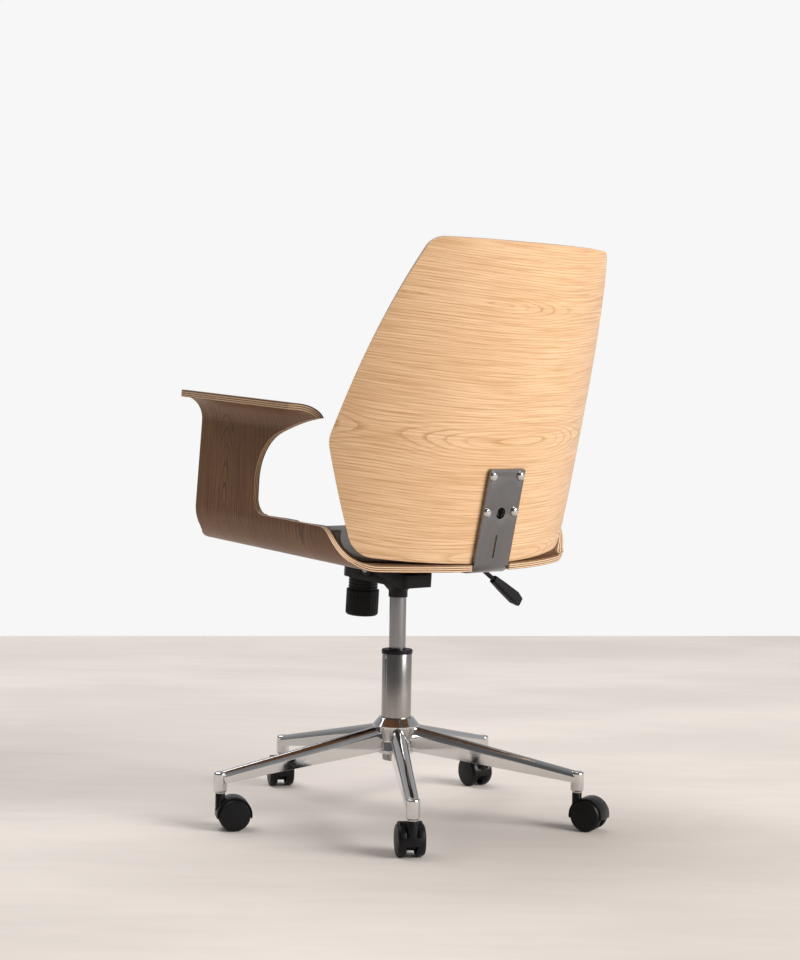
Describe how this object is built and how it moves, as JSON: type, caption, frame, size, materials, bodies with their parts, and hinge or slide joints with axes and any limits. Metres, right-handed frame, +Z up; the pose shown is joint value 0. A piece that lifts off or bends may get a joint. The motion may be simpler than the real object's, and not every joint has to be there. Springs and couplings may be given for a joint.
{
  "type": "desk chair",
  "caption": "Height-adjustable swivel desk chair with a one-piece bentwood seat and arms, a curved bentwood back, leather cushions and a chromed star base on twin-wheel casters.",
  "frame": {"origin": "on the floor under the column's axis", "axes": "+X to the sitter's left, +Y to the back, +Z up"},
  "size_m": [0.6299, 0.6956, 0.9488],
  "materials": {
    "chromed_steel": "polished chromed steel",
    "column_steel": "satin drawn tube",
    "black_nylon": "smooth moulded nylon",
    "plated_steel": "zinc plated",
    "black_enamel": "black enamel",
    "spring_steel": "oiled spring wire",
    "hood_plastic": "moulded nylon",
    "wheel_plastic": "moulded nylon",
    "knob_plastic": "fine moulded texture",
    "lever_steel": "black enamelled rod",
    "shell_wood": "walnut face veneer on moulded plies, satin varnish",
    "back_wood": "oak face veneer on moulded plies, satin varnish",
    "seat_leather": "grained upholstery leather",
    "back_leather": "grained upholstery leather",
    "bracket_steel": "satin polished strip",
    "screw_steel": "polished domed heads"
  },
  "bodies": {
    "base": {"base_hub": "chromed_steel", "star_leg_1": "chromed_steel", "star_leg_2": "chromed_steel", "star_leg_3": "chromed_steel", "star_leg_4": "chromed_steel", "star_leg_5": "chromed_steel", "column_tube": "column_steel", "guide_bush": "black_nylon", "thrust_bearing": "plated_steel", "foot_washer": "plated_steel", "caster_stem_1": "plated_steel", "caster_stem_2": "plated_steel", "caster_stem_3": "plated_steel", "caster_stem_4": "plated_steel", "caster_stem_5": "plated_steel"},
    "piston": {"piston_rod": "plated_steel", "retaining_clip": "plated_steel"},
    "lift": {"gas_cylinder": "black_enamel", "tilt_housing": "black_enamel", "spring_cup": "black_enamel", "pivot_pin": "plated_steel", "tension_spring": "spring_steel"},
    "valve": {"release_pin": "plated_steel"},
    "lever": {"lever_ball": "black_nylon"},
    "handle": {"lever_rod": "lever_steel", "lever_handle": "knob_plastic"},
    "seat": {"seat_plate": "black_enamel", "seat_shell": "shell_wood", "seat_cushion": "seat_leather", "back_bracket": "bracket_steel", "back_shell": "back_wood", "back_cushion": "back_leather", "bracket_screws": "screw_steel", "back_tee_nuts": "plated_steel", "seat_bolts": "plated_steel", "seat_tee_nuts": "plated_steel"},
    "bolt": {"tension_bolt": "plated_steel", "spring_washer": "plated_steel"},
    "knob": {"tension_knob": "knob_plastic"},
    "caster_1": {"caster_housing_1": "hood_plastic", "caster_axle_1": "plated_steel"},
    "wheel_left_1": {"caster_wheel_left_1": "wheel_plastic"},
    "wheel_right_1": {"caster_wheel_right_1": "wheel_plastic"},
    "caster_2": {"caster_housing_2": "hood_plastic", "caster_axle_2": "plated_steel"},
    "wheel_left_2": {"caster_wheel_left_2": "wheel_plastic"},
    "wheel_right_2": {"caster_wheel_right_2": "wheel_plastic"},
    "caster_3": {"caster_housing_3": "hood_plastic", "caster_axle_3": "plated_steel"},
    "wheel_left_3": {"caster_wheel_left_3": "wheel_plastic"},
    "wheel_right_3": {"caster_wheel_right_3": "wheel_plastic"},
    "caster_4": {"caster_housing_4": "hood_plastic", "caster_axle_4": "plated_steel"},
    "wheel_left_4": {"caster_wheel_left_4": "wheel_plastic"},
    "wheel_right_4": {"caster_wheel_right_4": "wheel_plastic"},
    "caster_5": {"caster_housing_5": "hood_plastic", "caster_axle_5": "plated_steel"},
    "wheel_left_5": {"caster_wheel_left_5": "wheel_plastic"},
    "wheel_right_5": {"caster_wheel_right_5": "wheel_plastic"}
  },
  "joints": [
    {"name": "swivel", "type": "hinge", "parent": "base", "child": "piston", "pos_m": [0, 0, 0.2], "axis": [0, 0, 1], "continuous": true},
    {"name": "height", "type": "slide", "parent": "piston", "child": "lift", "axis": [0, 0, 1], "range_m": [-0.08, 0]},
    {"name": "valve", "type": "slide", "parent": "lift", "child": "valve", "axis": [0, 0, -1], "range_m": [0, 0.0028], "stiffness_N_per_m": 800},
    {"name": "lever", "type": "hinge", "parent": "lift", "child": "lever", "pos_m": [-0.03075, 0, 0.419], "axis": [0, 1, 0], "range_deg": [0, 5], "stiffness_Nm_per_rad": 12, "springref_deg": -3.44},
    {"name": "handle_pull", "type": "slide", "parent": "lever", "child": "handle", "axis": [-1, 0, 0], "range_m": [0, 0.012]},
    {"name": "tilt", "type": "hinge", "parent": "lift", "child": "seat", "pos_m": [0, -0.0418, 0.41927], "axis": [-1, 0, 0], "range_deg": [0, 12], "stiffness_Nm_per_rad": 150, "springref_deg": -6.88, "deforming": ["tension_spring"]},
    {"name": "bolt_draw", "type": "slide", "parent": "lift", "child": "bolt", "axis": [0, 0.0628, 0.998], "range_m": [0, 0.0121]},
    {"name": "knob_turn", "type": "hinge", "parent": "bolt", "child": "knob", "pos_m": [0, -0.08683, 0.45216], "axis": [0, 0.0628, 0.998], "continuous": true},
    {"name": "caster_swivel_1", "type": "hinge", "parent": "base", "child": "caster_1", "pos_m": [0.18104, 0.24918, 0.06], "axis": [0, 0, 1], "continuous": true},
    {"name": "wheel_left_turn_1", "type": "hinge", "parent": "caster_1", "child": "wheel_left_1", "pos_m": [0.16961, 0.23038, 0.026], "axis": [0.8545, -0.5195, 0], "continuous": true},
    {"name": "wheel_right_turn_1", "type": "hinge", "parent": "caster_1", "child": "wheel_right_1", "pos_m": [0.16961, 0.23038, 0.026], "axis": [0.8545, -0.5195, 0], "continuous": true},
    {"name": "caster_swivel_2", "type": "hinge", "parent": "base", "child": "caster_2", "pos_m": [-0.18104, 0.24918, 0.06], "axis": [0, 0, 1], "continuous": true},
    {"name": "wheel_left_turn_2", "type": "hinge", "parent": "caster_2", "child": "wheel_left_2", "pos_m": [-0.18881, 0.26976, 0.026], "axis": [-0.9354, -0.3535, 0], "continuous": true},
    {"name": "wheel_right_turn_2", "type": "hinge", "parent": "caster_2", "child": "wheel_right_2", "pos_m": [-0.18881, 0.26976, 0.026], "axis": [-0.9354, -0.3535, 0], "continuous": true},
    {"name": "caster_swivel_3", "type": "hinge", "parent": "base", "child": "caster_3", "pos_m": [-0.29292, -0.09518, 0.06], "axis": [0, 0, 1], "continuous": true},
    {"name": "wheel_left_turn_3", "type": "hinge", "parent": "caster_3", "child": "wheel_left_3", "pos_m": [-0.29686, -0.11682, 0.026], "axis": [0.9839, -0.1788, 0], "continuous": true},
    {"name": "wheel_right_turn_3", "type": "hinge", "parent": "caster_3", "child": "wheel_right_3", "pos_m": [-0.29686, -0.11682, 0.026], "axis": [0.9839, -0.1788, 0], "continuous": true},
    {"name": "caster_swivel_4", "type": "hinge", "parent": "base", "child": "caster_4", "pos_m": [0, -0.308, 0.06], "axis": [0, 0, 1], "continuous": true},
    {"name": "wheel_left_turn_4", "type": "hinge", "parent": "caster_4", "child": "wheel_left_4", "pos_m": [-0.01043, -0.32737, 0.026], "axis": [0.8805, -0.4741, 0], "continuous": true},
    {"name": "wheel_right_turn_4", "type": "hinge", "parent": "caster_4", "child": "wheel_right_4", "pos_m": [-0.01043, -0.32737, 0.026], "axis": [0.8805, -0.4741, 0], "continuous": true},
    {"name": "caster_swivel_5", "type": "hinge", "parent": "base", "child": "caster_5", "pos_m": [0.29292, -0.09518, 0.06], "axis": [0, 0, 1], "continuous": true},
    {"name": "wheel_left_turn_5", "type": "hinge", "parent": "caster_5", "child": "wheel_left_5", "pos_m": [0.27374, -0.08441, 0.026], "axis": [-0.4894, -0.8721, 0], "continuous": true},
    {"name": "wheel_right_turn_5", "type": "hinge", "parent": "caster_5", "child": "wheel_right_5", "pos_m": [0.27374, -0.08441, 0.026], "axis": [-0.4894, -0.8721, 0], "continuous": true}
  ],
  "couplings": [
    {"joint": "valve", "follows": "lever", "m_per_rad": 0.032},
    {"joint": "bolt_draw", "follows": "tilt", "m_per_rad": 0.0572}
  ]
}
